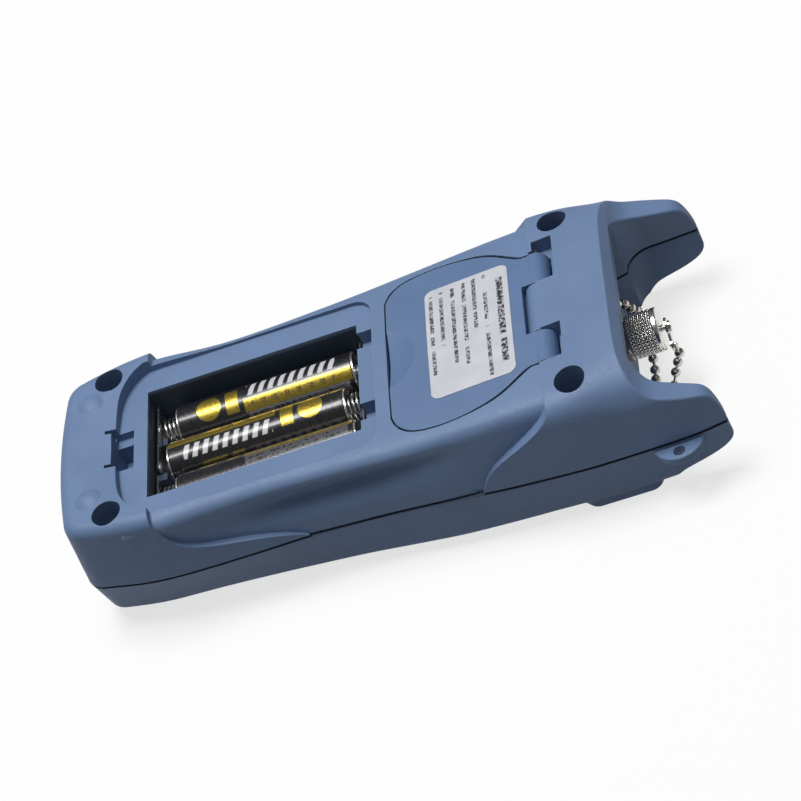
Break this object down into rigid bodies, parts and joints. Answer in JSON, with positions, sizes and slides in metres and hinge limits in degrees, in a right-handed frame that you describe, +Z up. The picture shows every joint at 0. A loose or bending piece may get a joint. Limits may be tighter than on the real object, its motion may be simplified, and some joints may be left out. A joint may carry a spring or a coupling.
{
  "type": "optical power meter",
  "caption": "Handheld optical power meter lying on its face, with a tilting stand, an open battery bay with cells, and a screw-on port cap on a bead chain.",
  "frame": {"origin": "on the table face of the bezel's lower bar, under the middle of the case's length and width", "axes": "+X along the case from tail to horns, +Z up through the back, +Y towards the side without the lanyard lug"},
  "size_m": [0.1523, 0.0706, 0.0353],
  "materials": {
    "shell_blue": "fine texture",
    "steel": "satin",
    "window": "clear",
    "display": "gloss",
    "strip_rubber": "matte",
    "overlay": "satin",
    "key_rubber": "matte",
    "board": "satin",
    "switch_body": "satin",
    "chip": "satin",
    "label_sheet": "satin",
    "cell_wrap": "gloss",
    "contact_metal": "bright",
    "nickel": "bright",
    "can_metal": "satin"
  },
  "bodies": {
    "case": {"rear_shell": "shell_blue", "front_shell": "shell_blue", "case_screws": "steel", "lcd_window": "window", "lcd_module": "display", "lcd_strip": "strip_rubber", "face_plate": "overlay", "circuit_board": "board", "board_screws": "steel", "switch_group": "switch_body", "processor": "chip", "stand_pin": "steel", "cell_far": "cell_wrap", "cell_middle": "cell_wrap", "cell_near": "cell_wrap", "spring_far": "contact_metal", "spring_middle": "contact_metal", "spring_near": "contact_metal", "contact_tail_double": "contact_metal", "contact_tail_single": "contact_metal", "contact_head_double": "contact_metal", "contact_head_single": "contact_metal", "port_adapter": "nickel", "port_nut": "nickel", "detector_can": "can_metal", "bead_chain": "nickel", "chain_screw": "nickel"},
    "stand_leaf": {"stand": "shell_blue", "label": "label_sheet"},
    "chain_end": {"cap_swivel": "nickel"},
    "port_cap": {"dust_cap": "nickel"},
    "key_power_body": {"key_power": "key_rubber"},
    "key_light_body": {"key_light": "key_rubber"},
    "key_wave_body": {"key_wave": "key_rubber"},
    "key_save_body": {"key_save": "key_rubber"},
    "key_source_body": {"key_source": "key_rubber"},
    "key_level_body": {"key_level": "key_rubber"}
  },
  "joints": [
    {"name": "stand_hinge", "type": "hinge", "parent": "case", "child": "stand_leaf", "pos_m": [0.0424, 0, 0.03128], "axis": [0, 1, 0], "range_deg": [0, 60]},
    {"name": "cap_draw", "type": "slide", "parent": "case", "child": "chain_end", "axis": [1, 0, 0], "range_m": [0, 0.00375], "deforming": ["bead_chain"]},
    {"name": "cap_turn", "type": "hinge", "parent": "chain_end", "child": "port_cap", "pos_m": [0.0619, 0, 0.0167], "axis": [1, 0, 0], "range_deg": [0, 1800]},
    {"name": "key_power_press", "type": "slide", "parent": "case", "child": "key_power_body", "axis": [0, 0, 1], "range_m": [0, 0.0005], "stiffness_N_per_m": 300},
    {"name": "key_light_press", "type": "slide", "parent": "case", "child": "key_light_body", "axis": [0, 0, 1], "range_m": [0, 0.0005], "stiffness_N_per_m": 300},
    {"name": "key_wave_press", "type": "slide", "parent": "case", "child": "key_wave_body", "axis": [0, 0, 1], "range_m": [0, 0.0005], "stiffness_N_per_m": 300},
    {"name": "key_save_press", "type": "slide", "parent": "case", "child": "key_save_body", "axis": [0, 0, 1], "range_m": [0, 0.0005], "stiffness_N_per_m": 300},
    {"name": "key_source_press", "type": "slide", "parent": "case", "child": "key_source_body", "axis": [0, 0, 1], "range_m": [0, 0.0005], "stiffness_N_per_m": 300},
    {"name": "key_level_press", "type": "slide", "parent": "case", "child": "key_level_body", "axis": [0, 0, 1], "range_m": [0, 0.0005], "stiffness_N_per_m": 300}
  ],
  "couplings": [
    {"joint": "cap_turn", "follows": "cap_draw", "rad_per_m": 8377.6}
  ]
}
